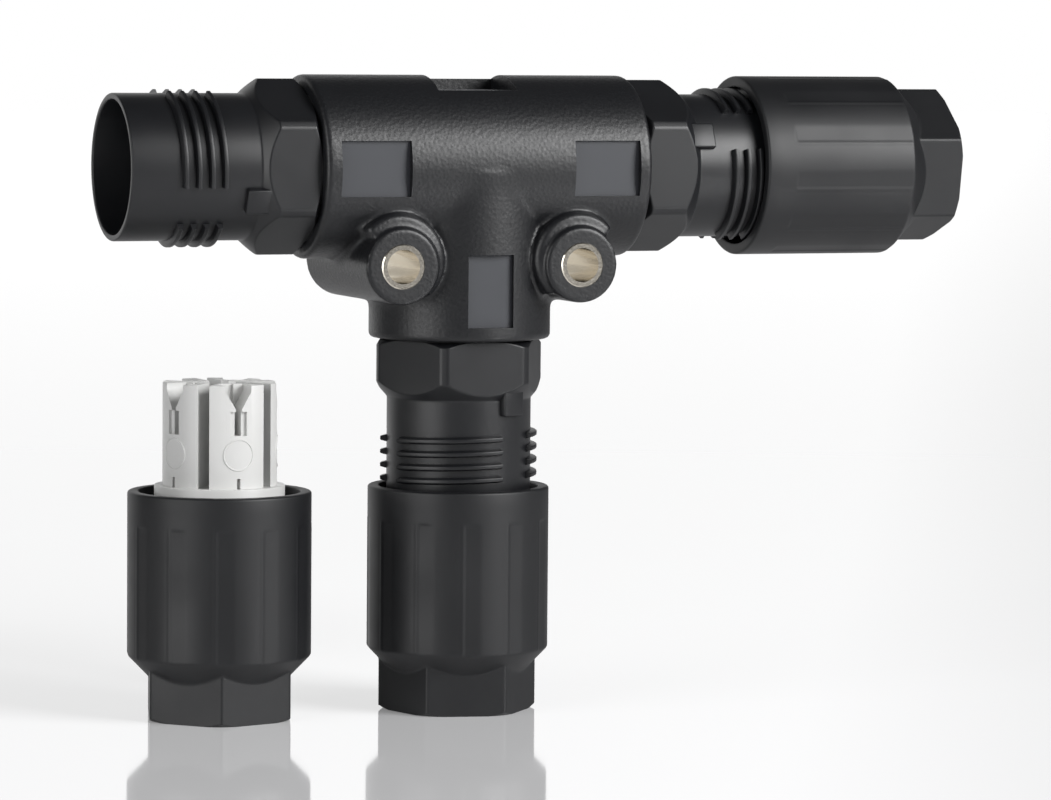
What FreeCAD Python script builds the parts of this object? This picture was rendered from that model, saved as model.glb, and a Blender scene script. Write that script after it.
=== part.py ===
# Cable distributor tee: a moulded housing with three threaded ports for round five-core cables.
# Units are millimetres. The tee stands on its bottom union nut: the floor is z = 0, the stem axis is
# the z axis, the arm runs along x and the front, with the label pockets, looks along -y.
# Each port has its own frame: its z is the distance outward from the middle of the tee, its y is +y
# of the part. Each union nut has a frame of its own too, with z counted from its mouth to its hex end.

import FreeCAD, Part
import math
import os

os.makedirs("parts", exist_ok=True)

Vec = FreeCAD.Vector
origin = Vec(0, 0, 0)
axis_x = Vec(1, 0, 0)
axis_y = Vec(0, 1, 0)
axis_z = Vec(0, 0, 1)

# Tee housing
housing_radius = 17.75
branch_reach = 33.4
end_round = 1.4
socket_wall = 3.0
socket_depth = 7.9
socket_ledge = 2.55

# Mounting bosses and the metal bushes moulded into them
boss_aside = 0.6
boss_below = 0.85
boss_radius = 7.3
boss_front_proud = 0.85
boss_back_proud = 0.25
shoulder_radius = 9.2
shoulder_rise = 1.0
shoulder_step = 1.2
shoulder_length = 9.0
shoulder_tilt = 45.0
bush_radius = 4.33
bush_bore_radius = 3.3
bush_proud = 0.2
edge_round = 0.5

# Label pockets on the front and the notch on top
label_width = 14.8
label_height = 10.7
label_from_middle = 23.6
stem_label_width = 10.3
stem_label_height = 13.7
stem_label_drop = 24.55
label_depth = 1.6
notch_width = 16.4
notch_depth = 2.85
notch_back = 5.3

# Port sleeves
spigot_step = 0.65
sleeve_wall = 1.2
seal_thickness = 0.5
collar_rise = 0.9
collar_corner_rise = 2.1
collar_back_rise = 0.2
collar_back_bevel = 0.9
collar_straight = 7.2
collar_taper = 3.3
tube_length = 25.4
thread_pitch = 2.6
thread_height = 1.25
ridge_root = 0.4
thread_root_width = 1.5
thread_crest_width = 0.7
thread_gap = 26.0
thread_from_collar = 6.36
thread_angle = 156.5
thread_turns = 4
starts_per_turn = 3
stop_from_collar = 3.3
stop_length = 6.0
stop_width = 5.0
stop_height = 1.2
stop_angle = 5.3

# Contacts and their carriers
contact_inset = 3.45
contact_count = 5
first_contact_angle = 90.0
core_reach = 16.0
carrier_flange = 1.5
blade_width = 4.0
blade_thickness = 0.8
blade_length = 11.5
blade_point = 2.0
pin_radius = 1.2
busbar_height = 2.2
busbar_thickness = 0.8
busbar_offset = 0.9

# Union nuts
thread_clearance = 0.25
nut_wall = 2.15
mouth_plain = 8.0
skirt_length = 31.7
facet_depth = 0.1
facet_count = 12
hex_step = 4.25
hex_length = 7.9
shoulder_angle = 44.0
mouth_chamfer = 0.5
hex_end_chamfer = 0.7
hex_end_slope = 2.0
cable_radius = 7.0
nut_thread_turns = 2
nut_thread_from_mouth = 1.6
nut_thread_height = 1.1
nut_thread_root_width = 0.9
nut_thread_crest_width = 0.5
cage_depth = 24.0
entry_length = 6.2
nut_lag = 177.0

# Wire guide, clamping cage and cable seal inside each nut
post_inset = 1.55
post_rise = 21.0
post_gap = 2.4
wire_hole_radius = 3.2
guide_flange = 1.2
guide_wall = 2.6
blade_slot = 1.4
vee_width = 5.2
vee_depth = 3.6
vee_reach = 5.0
cage_wall = 3.0
cage_tip_wall = 1.5
cage_lip = 0.5
cage_ring = 3.0
cage_finger_count = 10
cage_slot = 1.2
seal_wall = 3.4
seal_lead = 1.0

# Clearances
fit_gap = 0.1
press_gap = 0.03
slide_gap = 0.3
stop_gap = 0.3

# How far each nut is screwed off, in turns from fully tight, and where the loose nut stands
right_nut_turns = 3.75
bottom_nut_turns = 5.425
loose_nut_x = -48.4
loose_nut_y = 1.8
loose_nut_angle = 45.4
loose_guide_angle = 34.2

# Sizes that follow from those above
boss_spread = housing_radius + boss_aside
boss_drop = housing_radius + boss_below
boss_front = housing_radius + boss_front_proud
boss_back = housing_radius + boss_back_proud
socket_radius = housing_radius - socket_wall
core_bore_radius = socket_radius - socket_ledge
sleeve_radius = socket_radius - spigot_step
socket_floor = branch_reach - socket_depth
carrier_front = socket_floor + carrier_flange
collar_start = branch_reach + seal_thickness
collar_end = collar_start + collar_back_bevel + collar_straight + collar_taper
sleeve_reach = collar_end + tube_length
sleeve_bore = sleeve_radius - sleeve_wall
collar_apothem = sleeve_radius + collar_rise
collar_corner = collar_apothem + collar_corner_rise
stop_end = collar_end - stop_from_collar + stop_length
thread_arc = 360.0 / starts_per_turn - thread_gap
thread_start = collar_end + thread_from_collar
thread_crest = sleeve_radius + thread_height
tight_mouth = stop_end + stop_gap
nut_bore = thread_crest + thread_clearance
nut_radius = nut_bore + nut_wall
nut_clocking = thread_angle - nut_lag
shoulder_slope = math.tan(math.radians(shoulder_angle))
hex_apothem = nut_radius - hex_step
hex_corner = hex_apothem / math.cos(math.pi / 6)
cone_length = hex_step / shoulder_slope
nut_length = skirt_length + cone_length + hex_length
right_mouth = tight_mouth + right_nut_turns * thread_pitch
bottom_mouth = tight_mouth + bottom_nut_turns * thread_pitch
middle_height = bottom_mouth + nut_length
guide_radius = sleeve_bore - slide_gap
post_radius = guide_radius - post_inset
contact_circle = post_radius - contact_inset
cage_radius = guide_radius + cage_lip
cage_end = nut_length - entry_length - slide_gap
cage_tip_radius = cable_radius + cage_wall
cage_cone_length = (cage_radius - cage_tip_radius) * shoulder_slope


def cylinder(radius, start, end):
    return Part.makeCylinder(radius, end - start, Vec(0, 0, start), axis_z)


def tube(outer, inner, start, end):
    return cylinder(outer, start, end).cut(cylinder(inner, start, end))


def turned(outline):
    # a closed outline of radius and height pairs, spun about z
    points = [Vec(radius, 0, height) for radius, height in outline]
    face = Part.Face(Part.makePolygon(points + points[:1]))
    return face.revolve(origin, axis_z, 360)


def prism(sides, apothem, start, end):
    corner = apothem / math.cos(math.pi / sides)
    points = []
    for side in range(sides + 1):
        angle = 2 * math.pi * side / sides
        points.append(Vec(corner * math.cos(angle), corner * math.sin(angle), start))
    return Part.Face(Part.makePolygon(points)).extrude(Vec(0, 0, end - start))


def box(low, high):
    size = [b - a for a, b in zip(low, high)]
    return Part.makeBox(size[0], size[1], size[2], Vec(*low))


def turn(shape, angle):
    copy = shape.copy()
    copy.rotate(origin, axis_z, angle)
    return copy


def shifted(shape, x, y, z):
    copy = shape.copy()
    copy.translate(Vec(x, y, z))
    return copy


def thread_ridge(root_radius, crest_radius, root_width, crest_width):
    # one stretch of thread between two gaps: a ring sector laid over at the lead angle
    outline = [
        Vec(root_radius, 0, -root_width / 2),
        Vec(crest_radius, 0, -crest_width / 2),
        Vec(crest_radius, 0, crest_width / 2),
        Vec(root_radius, 0, root_width / 2),
    ]
    sector = Part.Face(Part.makePolygon(outline + outline[:1])).revolve(origin, axis_z, thread_arc)
    sector.rotate(origin, axis_z, -thread_arc / 2)
    lead = math.degrees(math.atan(thread_pitch / (math.pi * (root_radius + crest_radius))))
    sector.rotate(origin, axis_x, lead)
    return sector


def thread(ridge, first_angle, first_height, turns):
    ridges = []
    for number in range(turns * starts_per_turn):
        angle = first_angle + number * 360.0 / starts_per_turn
        height = first_height + number * thread_pitch / starts_per_turn
        ridges.append(shifted(turn(ridge, angle), 0, 0, height))
    return ridges


def port_placement(tilt):
    return FreeCAD.Placement(Vec(0, 0, middle_height), FreeCAD.Rotation(axis_y, tilt))


def place(shape, placement):
    copy = shape.copy()
    copy.Placement = placement.multiply(copy.Placement)
    return copy


def save(name, shape):
    solids = shape.Solids
    if len(solids) == 1:
        shape = solids[0]
    shape.exportStep("parts/" + name + ".step")
    print(name, len(solids), "solids", round(shape.Volume, 1), "mm3", shape.isValid())


ports = {"left": port_placement(-90), "bottom": port_placement(180), "right": port_placement(90)}


# Tee housing: two rounded bars that cross, bosses, sockets for the sleeves and hollow core
def rounded_branch():
    bar = cylinder(housing_radius, 0, branch_reach)
    rim = [edge for edge in bar.Edges if edge.BoundBox.ZMin > branch_reach - end_round]
    return bar.makeFillet(end_round, rim)


def boss(side):
    # a plain tube through the body, with a half-round shoulder on the side of the tee's middle
    post = Part.makeCylinder(boss_radius, boss_front + boss_back, Vec(0, -boss_front, 0), axis_y)
    ends = [edge for edge in post.Edges if edge.BoundBox.YLength < edge_round]
    post = post.makeFillet(edge_round, ends)
    shoulder_face = boss_front - shoulder_step
    shoulder = Part.makeCylinder(
        shoulder_radius, shoulder_length, Vec(0, -shoulder_face, shoulder_rise), axis_y)
    front_edge = [edge for edge in shoulder.Edges if edge.BoundBox.YMax < edge_round - shoulder_face]
    shoulder = shoulder.makeFillet(edge_round, front_edge)
    reach = shoulder_radius + shoulder_rise
    keep = box((-reach, -boss_front, 0), (reach, 0, reach))
    keep.rotate(origin, axis_y, -side * shoulder_tilt)
    post = post.fuse(shoulder.common(keep))
    return shifted(post, side * boss_spread, 0, middle_height - boss_drop)


def label_pocket(width, height, x, z):
    floor = housing_radius - label_depth
    return box((x - width / 2, -boss_front, z - height / 2), (x + width / 2, -floor, z + height / 2))


def tee_housing():
    branch = rounded_branch()
    bosses = [boss(-1), boss(1)]
    branches = [place(branch, placement) for placement in ports.values()]
    body = branches[0].fuse(branches[1:] + bosses)
    cuts = []
    for placement in ports.values():
        cuts.append(place(cylinder(core_bore_radius, 0, branch_reach), placement))
        cuts.append(place(cylinder(socket_radius, socket_floor, branch_reach), placement))
    for side in (-1, 1):
        hole = Part.makeCylinder(
            bush_radius + press_gap, 2 * (boss_front + boss_back),
            Vec(side * boss_spread, -boss_front - boss_back, middle_height - boss_drop), axis_y)
        cuts.append(hole)
        cuts.append(label_pocket(label_width, label_height, side * label_from_middle, middle_height))
    cuts.append(label_pocket(
        stem_label_width, stem_label_height, 0, middle_height - stem_label_drop))
    notch_floor = middle_height + housing_radius - notch_depth
    cuts.append(box(
        (-notch_width / 2, -housing_radius, notch_floor),
        (notch_width / 2, notch_back, notch_floor + housing_radius)))
    return body.cut(cuts).removeSplitter()


def mounting_bush(side):
    length = boss_front + boss_back + 2 * bush_proud
    sleeve = tube(bush_radius, bush_bore_radius, 0, length)
    ends = []
    for edge in sleeve.Edges:
        if edge.BoundBox.ZLength < fit_gap and edge.BoundBox.XLength > bush_radius + bush_bore_radius:
            ends.append(edge)
    sleeve = sleeve.makeChamfer(bush_proud, ends)
    sleeve.rotate(origin, axis_x, -90)
    return shifted(sleeve, side * boss_spread, -boss_front - bush_proud, middle_height - boss_drop)


# Port sleeve, in the port's frame: spigot in the socket, hex collar, tube, stops and thread
def port_sleeve():
    spigot = socket_radius - fit_gap
    body = turned([
        (sleeve_bore, carrier_front),
        (spigot, carrier_front),
        (spigot, branch_reach),
        (sleeve_radius, branch_reach),
        (sleeve_radius, sleeve_reach),
        (sleeve_bore, sleeve_reach),
    ])
    collar = prism(6, collar_apothem, collar_start, collar_end)
    bevel = turned([
        (0, collar_start),
        (collar_apothem + collar_back_rise, collar_start),
        (collar_corner, collar_start + collar_back_bevel),
        (collar_corner, collar_end - collar_taper),
        (sleeve_radius, collar_end),
        (0, collar_end),
    ])
    collar = collar.common(bevel).cut(cylinder(sleeve_bore, collar_start, collar_end))
    pieces = [collar]
    stop = box(
        (sleeve_bore + fit_gap, -stop_width / 2, stop_end - stop_length),
        (sleeve_radius + stop_height, stop_width / 2, stop_end))
    for number in range(starts_per_turn):
        pieces.append(turn(stop, stop_angle + number * 360.0 / starts_per_turn))
    ridge = thread_ridge(
        sleeve_radius - ridge_root, thread_crest, thread_root_width, thread_crest_width)
    pieces += thread(ridge, thread_angle, thread_start, thread_turns)
    return body.fuse(pieces).removeSplitter()


def face_seal():
    # it lies round the sleeve between the housing's end and the collar
    return tube(collar_apothem, sleeve_radius + fit_gap, branch_reach, collar_start)


# Contact carrier: a disc seated on the socket floor, with a core that reaches the busbar block
def contact_angles():
    return [first_contact_angle + number * 360.0 / contact_count for number in range(contact_count)]


def contact_carrier():
    core = cylinder(core_bore_radius - fit_gap, core_reach, carrier_front)
    body = core.fuse(cylinder(socket_radius - fit_gap, socket_floor, carrier_front))
    holes = []
    for angle in contact_angles():
        hole = shifted(cylinder(pin_radius + press_gap, core_reach, carrier_front), contact_circle, 0, 0)
        holes.append(turn(hole, angle))
    return body.cut(holes).removeSplitter()


def contact_blades():
    half = blade_width / 2
    tip = carrier_front + blade_length
    outline = [
        Vec(contact_circle - half, -blade_thickness / 2, carrier_front),
        Vec(contact_circle + half, -blade_thickness / 2, carrier_front),
        Vec(contact_circle + half, -blade_thickness / 2, tip - blade_point),
        Vec(contact_circle, -blade_thickness / 2, tip),
        Vec(contact_circle - half, -blade_thickness / 2, tip - blade_point),
    ]
    blade = Part.Face(Part.makePolygon(outline + outline[:1])).extrude(Vec(0, blade_thickness, 0))
    pin = shifted(cylinder(pin_radius, core_reach, carrier_front), contact_circle, 0, 0)
    blade = blade.fuse(pin)
    return Part.makeCompound([turn(blade, angle).Solids[0] for angle in contact_angles()])


# Busbars: each joins one contact of the left and right ports and drops to the bottom port
def busbar(number):
    angle = math.radians(contact_angles()[number])
    across = contact_circle * math.cos(angle)
    level = contact_circle * math.sin(angle)
    if abs(across) > busbar_height:
        level += math.copysign(busbar_offset, across)
    low = level - busbar_thickness / 2
    high = level + busbar_thickness / 2
    half = busbar_height / 2
    along = box((-core_reach, low, across - half), (core_reach, high, across + half))
    drop = box((across - half, low, -core_reach), (across + half, high, across))
    return shifted(along.fuse(drop).removeSplitter(), 0, 0, middle_height)


def busbar_block(busbars):
    arm = place(cylinder(core_bore_radius - fit_gap, 0, core_reach), ports["left"])
    others = [
        place(cylinder(core_bore_radius - fit_gap, 0, core_reach), ports["right"]),
        place(cylinder(core_bore_radius - fit_gap, 0, core_reach), ports["bottom"]),
    ]
    return arm.fuse(others).cut(busbars).removeSplitter()


# Union nut, from its mouth at z = 0 to its hex end
def union_nut():
    hex_start = skirt_length + cone_length
    outside = turned([
        (0, 0),
        (nut_radius - mouth_chamfer, 0),
        (nut_radius, mouth_chamfer),
        (nut_radius, skirt_length),
        (hex_apothem, hex_start),
        (0, hex_start),
    ])
    facets = prism(facet_count, nut_radius - facet_depth, mouth_plain, hex_start)
    outside = outside.common(facets.fuse(cylinder(nut_radius, 0, mouth_plain)))
    hexagon = prism(6, hex_apothem, skirt_length, nut_length)
    end_bevel = turned([
        (0, skirt_length),
        (hex_corner, skirt_length),
        (hex_corner, nut_length - hex_end_chamfer),
        (hex_corner - hex_end_slope * hex_end_chamfer, nut_length),
        (0, nut_length),
    ])
    outside = outside.fuse(hexagon.common(end_bevel))
    cage_bore = cage_radius + slide_gap
    inside = turned([
        (0, 0),
        (nut_bore + mouth_chamfer, 0),
        (nut_bore, mouth_chamfer),
        (nut_bore, cage_depth),
        (cage_bore, cage_depth),
        (cage_bore, nut_length - entry_length - cage_cone_length),
        (cage_tip_radius + slide_gap, nut_length - entry_length),
        (cable_radius, nut_length - entry_length),
        (cable_radius, nut_length),
        (0, nut_length),
    ])
    shell = outside.cut(inside)
    ridge = thread_ridge(
        nut_bore + ridge_root, nut_bore - nut_thread_height,
        nut_thread_root_width, nut_thread_crest_width)
    phase = thread_start - thread_pitch / 2 - tight_mouth - thread_pitch * nut_lag / 360
    first = nut_thread_from_mouth + (phase - nut_thread_from_mouth) % thread_pitch
    return shell.fuse(thread(ridge, 0.0, first, nut_thread_turns)).removeSplitter()


# Wire guide: posts with a slot for each contact blade, a flange level with the nut's mouth, a skirt
def wire_guide():
    posts = cylinder(post_radius, -post_rise, 0).cut(cylinder(wire_hole_radius, -post_rise, 0))
    reach = blade_length + carrier_front - tight_mouth + post_rise + stop_gap
    cuts = []
    for angle in contact_angles():
        gap = box((0, -post_gap / 2, -post_rise), (guide_radius, post_gap / 2, -guide_flange))
        cuts.append(turn(gap, angle + 180.0 / contact_count))
        slot_start = contact_circle - blade_width / 2 - slide_gap
        slot = box(
            (slot_start, -blade_slot / 2, -post_rise),
            (guide_radius, blade_slot / 2, reach - post_rise))
        cuts.append(turn(slot, angle))
        vee = Part.Face(Part.makePolygon([
            Vec(post_radius - vee_reach, -vee_width / 2, -post_rise),
            Vec(post_radius - vee_reach, vee_width / 2, -post_rise),
            Vec(post_radius - vee_reach, 0, vee_depth - post_rise),
            Vec(post_radius - vee_reach, -vee_width / 2, -post_rise),
        ])).extrude(Vec(vee_reach + post_inset, 0, 0))
        cuts.append(turn(vee, angle))
    posts = posts.cut(cuts)
    flange = tube(guide_radius, wire_hole_radius, -guide_flange, 0)
    skirt = tube(guide_radius, guide_radius - guide_wall, 0, cage_depth)
    return posts.fuse([flange, skirt]).removeSplitter()


# Clamping cage: a ring under the guide's skirt, with fingers that the nut's cone presses in
def clamping_cage():
    body = turned([
        (cage_radius - cage_wall, cage_depth),
        (cage_radius, cage_depth),
        (cage_radius, cage_end - cage_cone_length),
        (cage_tip_radius, cage_end),
        (cage_tip_radius - cage_tip_wall, cage_end),
        (cage_radius - cage_wall, cage_end - cage_cone_length),
    ])
    slots = []
    for number in range(cage_finger_count):
        slot = box(
            (0, -cage_slot / 2, cage_depth + cage_ring),
            (guide_radius + cage_wall, cage_slot / 2, cage_end))
        slots.append(turn(slot, number * 360.0 / cage_finger_count))
    return body.cut(slots).removeSplitter()


def cable_seal():
    outer = cage_radius - cage_wall - fit_gap
    inner = outer - seal_wall
    end = cage_end - cage_cone_length
    return turned([
        (inner + seal_lead, cage_depth),
        (outer, cage_depth),
        (outer, end),
        (inner, end),
        (inner, cage_depth + seal_lead),
    ])


# Every piece, placed and written
save("tee_housing", tee_housing())
save("mounting_bush_left", mounting_bush(-1))
save("mounting_bush_right", mounting_bush(1))

sleeve = port_sleeve()
seal = face_seal()
carrier = contact_carrier()
blades = contact_blades()
for name, placement in ports.items():
    save("port_sleeve_" + name, place(sleeve, placement))
    save("face_seal_" + name, place(seal, placement))
    save("contact_carrier_" + name, place(carrier, placement))
    save("contact_blades_" + name, place(blades, placement))

busbars = [busbar(number) for number in range(contact_count)]
for number in range(contact_count):
    save("busbar_" + str(number + 1), busbars[number])
save("busbar_block", busbar_block(busbars))

down = FreeCAD.Rotation(axis_y, 180)
loose_foot = FreeCAD.Placement(Vec(loose_nut_x, loose_nut_y, nut_length), down)
nut = union_nut()
guide = wire_guide()
cage = clamping_cage()
cable_ring = cable_seal()
seats = {
    "loose": (loose_foot, loose_nut_angle, loose_guide_angle),
    "bottom": (ports["bottom"].multiply(FreeCAD.Placement(Vec(0, 0, bottom_mouth), FreeCAD.Rotation())),
               nut_clocking + 360.0 * bottom_nut_turns, 0.0),
    "right": (ports["right"].multiply(FreeCAD.Placement(Vec(0, 0, right_mouth), FreeCAD.Rotation())),
              nut_clocking + 360.0 * right_nut_turns, 0.0),
}
for name, (placement, nut_angle, guide_angle) in seats.items():
    save("union_nut_" + name, place(turn(nut, nut_angle), placement))
    save("wire_guide_" + name, place(turn(guide, guide_angle), placement))
    save("clamping_cage_" + name, place(turn(cage, guide_angle), placement))
    save("cable_seal_" + name, place(cable_ring, placement))
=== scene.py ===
import bmesh
import bpy
import math
import numpy as np
from mathutils import Matrix, Vector


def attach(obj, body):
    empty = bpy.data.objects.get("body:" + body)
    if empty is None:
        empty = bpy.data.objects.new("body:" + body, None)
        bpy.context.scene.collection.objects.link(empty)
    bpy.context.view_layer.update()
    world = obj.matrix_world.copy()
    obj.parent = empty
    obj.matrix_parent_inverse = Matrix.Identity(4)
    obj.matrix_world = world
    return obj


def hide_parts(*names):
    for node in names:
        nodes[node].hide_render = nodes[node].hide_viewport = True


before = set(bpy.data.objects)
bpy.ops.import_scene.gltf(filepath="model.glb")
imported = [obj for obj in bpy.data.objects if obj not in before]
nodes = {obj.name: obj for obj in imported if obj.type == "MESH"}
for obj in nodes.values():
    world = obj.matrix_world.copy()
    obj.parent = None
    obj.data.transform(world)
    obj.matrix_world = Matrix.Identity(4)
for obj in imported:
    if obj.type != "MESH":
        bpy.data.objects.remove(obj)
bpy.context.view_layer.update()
scene = bpy.context.scene
mm = 0.001
middle = 106.406  # height of the tee's middle over the floor, mm


# Small helpers

def addNode(tree, kind, inputs=None, **settings):
    # a value is a number, a colour, a socket, or a node, which stands for its first output
    node = tree.nodes.new(kind)
    for key, value in settings.items():
        setattr(node, key, value)
    for key, value in (inputs or {}).items():
        if isinstance(value, bpy.types.Node):
            value = next(socket for socket in value.outputs if socket.enabled)
        if isinstance(value, bpy.types.NodeSocket):
            tree.links.new(value, node.inputs[key])
        else:
            node.inputs[key].default_value = value
    return node


def colour(hexCode):
    values = [int(hexCode[i:i + 2], 16) / 255 for i in (1, 3, 5)]
    linear = [v / 12.92 if v <= 0.04045 else ((v + 0.055) / 1.055) ** 2.4 for v in values]
    return (*linear, 1.0)


def setMesh(obj, mesh, sharpAngle=35.0):
    mesh.shade_smooth()
    mesh.set_sharp_from_angle(angle=math.radians(sharpAngle))
    obj.data = mesh
    return obj


def makeMesh(name, vertices, faces, matrix=None):
    # vertices are in mm in the piece's own frame; the mesh that comes back is in metres,
    # in the part's frame
    mesh = bpy.data.meshes.new(name)
    mesh.from_pydata([tuple(v) for v in np.asarray(vertices, float) * mm], [], faces)
    if matrix is not None:
        mesh.transform(matrix)
    build = bmesh.new()
    build.from_mesh(mesh)
    bmesh.ops.recalc_face_normals(build, faces=build.faces)
    build.to_mesh(mesh)
    build.free()
    return mesh


def addObject(name, mesh):
    obj = bpy.data.objects.new(name, mesh)
    scene.collection.objects.link(obj)
    return obj


def joinMeshes(name, meshes):
    build = bmesh.new()
    for mesh in meshes:
        build.from_mesh(mesh)
    joined = bpy.data.meshes.new(name)
    build.to_mesh(joined)
    build.free()
    return joined


def ringShell(rings, columns):
    # rings are (radius, height) pairs, joined in order and the last to the first;
    # either value may vary by column
    angles = np.arange(columns) * 2 * math.pi / columns
    vertices = []
    for radius, height in rings:
        radius = np.broadcast_to(radius, columns)
        height = np.broadcast_to(height, columns)
        vertices.append(np.stack([radius * np.cos(angles), radius * np.sin(angles), height], axis=1))
    faces = []
    count = len(rings)
    for ring in range(count):
        a = ring * columns
        b = (ring + 1) % count * columns
        for column in range(columns):
            after = (column + 1) % columns
            faces.append((a + column, a + after, b + after, b + column))
    return np.concatenate(vertices), faces


def roundedCorner(radius, height, roundness, fromAngle, toAngle, steps=5):
    # rings round an edge whose centre of curvature is at radius and height
    rings = []
    for angle in np.radians(np.linspace(fromAngle, toAngle, steps)):
        rings.append((radius + roundness * math.cos(angle), height + roundness * math.sin(angle)))
    return rings


def portMatrix(tilt, outward=0.0, angle=0.0):
    turned = Matrix.Rotation(math.radians(tilt), 4, "Y") @ Matrix.Translation((0, 0, outward * mm))
    return Matrix.Translation((0, 0, middle * mm)) @ turned @ Matrix.Rotation(math.radians(angle), 4, "Z")


def polygonRadius(angles, sides, apothem, firstCorner=0.0, sharpness=60):
    # a polygon with soft corners, as radius over angle; a higher sharpness is a smaller corner round
    total = np.zeros_like(angles)
    for side in range(sides):
        flat = math.radians(firstCorner) + math.pi * (2 * side + 1) / sides
        total += np.maximum(np.cos(angles - flat), 0.0) ** sharpness
    return apothem / total ** (1.0 / sharpness)


def softMax(a, b, blend):
    h = np.maximum(blend - np.abs(a - b), 0.0) / blend
    return np.maximum(a, b) + h ** 3 * blend / 6


ports = {"left": -90, "bottom": 180, "right": 90}  # degrees that turn a port's own frame into its place


# Camera at the photograph's angle

cameraSet = {
    "azimuth": 21.219,
    "tilt": 4.478,
    "roll": 0.483,
    "sensorWidth": 36.0,
    "focalPixels": 4800.0,
    "framePixels": 1051.0,
    "place": (-327.04, -878.48, 134.13),  # mm
    "nearest": 0.05,  # m, as is the next
    "farthest": 20.0,
}


def makeCamera():
    azimuth = math.radians(cameraSet["azimuth"])
    tilt = math.radians(cameraSet["tilt"])
    roll = math.radians(cameraSet["roll"])
    flat = math.cos(tilt)
    forward = Vector((math.sin(azimuth) * flat, math.cos(azimuth) * flat, -math.sin(tilt)))
    level = forward.cross(Vector((0, 0, 1))).normalized()
    upright = level.cross(forward)
    right = level * math.cos(roll) + upright * math.sin(roll)
    up = upright * math.cos(roll) - level * math.sin(roll)
    data = bpy.data.cameras.new("photoCamera")
    data.sensor_width = cameraSet["sensorWidth"]
    data.lens = data.sensor_width * cameraSet["focalPixels"] / cameraSet["framePixels"]
    data.clip_start = cameraSet["nearest"]
    data.clip_end = cameraSet["farthest"]
    camera = bpy.data.objects.new("photoCamera", data)
    scene.collection.objects.link(camera)
    matrix = Matrix((right, up, -forward)).transposed().to_4x4()
    matrix.translation = Vector(cameraSet["place"]) * mm
    camera.matrix_world = matrix
    scene.camera = camera


makeCamera()
scene.view_settings.view_transform = "Standard"
print("camera set")


# Studio: pale floor, white surroundings, softboxes

studioSet = {
    "roomLevel": 0.07,
    "floorGlow": 0.17,
    "floorSize": 6.0,  # m, half the floor's side
    "backdropSoft": (0.78, 0.90),  # share of the way to the back where mirrored rays turn white
    "aim": (0.0, 0.0, 0.08),
    "lamps": [
        # name, degrees round from the front, degrees up, distance, width and height in metres, watts
        ("keySoftbox", 38.0, 25.0, 1.15, 0.60, 0.66, 15.5),
        ("leftSoftbox", -67.0, 10.0, 1.10, 0.75, 0.90, 6.5),
    ],
}


def makeFloor():
    material = bpy.data.materials.new("whiteAcrylicFloor")  # glossy sheet: a soft mirror of the object
    material.use_nodes = True
    tree = material.node_tree
    tree.nodes.clear()
    surface = addNode(tree, "ShaderNodeBsdfPrincipled", {
        "Base Color": colour("#E6E6E8"), "Roughness": 0.07, "IOR": 1.5,
        "Coat Weight": 0.4, "Coat Roughness": 0.05})
    path = addNode(tree, "ShaderNodeLightPath")
    mirrored = addNode(tree, "ShaderNodeMath", {
        0: path.outputs["Is Glossy Ray"], 1: path.outputs["Is Transmission Ray"]}, operation="ADD")
    seen = addNode(tree, "ShaderNodeMath", {
        0: path.outputs["Is Camera Ray"], 1: mirrored}, operation="ADD", use_clamp=True)
    strength = addNode(tree, "ShaderNodeMath", {0: seen, 1: studioSet["floorGlow"]}, operation="MULTIPLY")
    glow = addNode(tree, "ShaderNodeEmission", {"Color": (1, 1, 1, 1), "Strength": strength})
    both = addNode(tree, "ShaderNodeAddShader", {0: surface, 1: glow})
    addNode(tree, "ShaderNodeOutputMaterial", {"Surface": both})
    size = studioSet["floorSize"]
    mesh = bpy.data.meshes.new("studioFloor")
    corners = [(-size, -size, 0), (size, -size, 0), (size, size, 0), (-size, size, 0)]
    mesh.from_pydata(corners, [], [(0, 1, 2, 3)])
    mesh.materials.append(material)
    floor = addObject("studioFloor", mesh)


def makeWorld():
    world = bpy.data.worlds.new("whiteStudio")
    scene.world = world
    world.use_nodes = True
    tree = world.node_tree
    tree.nodes.clear()
    path = addNode(tree, "ShaderNodeLightPath")
    direction = addNode(tree, "ShaderNodeTexCoord")
    parts = addNode(tree, "ShaderNodeSeparateXYZ", {0: direction.outputs["Generated"]})
    soft = studioSet["backdropSoft"]
    behind = addNode(tree, "ShaderNodeMapRange", {
        "Value": parts.outputs["Y"], "From Min": soft[0], "From Max": soft[1]})
    mirrored = addNode(tree, "ShaderNodeMath", {
        0: path.outputs["Is Glossy Ray"], 1: path.outputs["Is Transmission Ray"]}, operation="ADD")
    mirroredBehind = addNode(tree, "ShaderNodeMath", {0: mirrored, 1: behind}, operation="MULTIPLY")
    white = addNode(tree, "ShaderNodeMath", {
        0: path.outputs["Is Camera Ray"], 1: mirroredBehind}, operation="ADD", use_clamp=True)
    room = addNode(tree, "ShaderNodeBackground", {
        "Color": (1, 1, 1, 1), "Strength": studioSet["roomLevel"]})
    backdrop = addNode(tree, "ShaderNodeBackground", {"Color": (1, 1, 1, 1), "Strength": 1.0})
    mixed = addNode(tree, "ShaderNodeMixShader", {0: white, 1: room, 2: backdrop})
    addNode(tree, "ShaderNodeOutputWorld", {"Surface": mixed})


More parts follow.
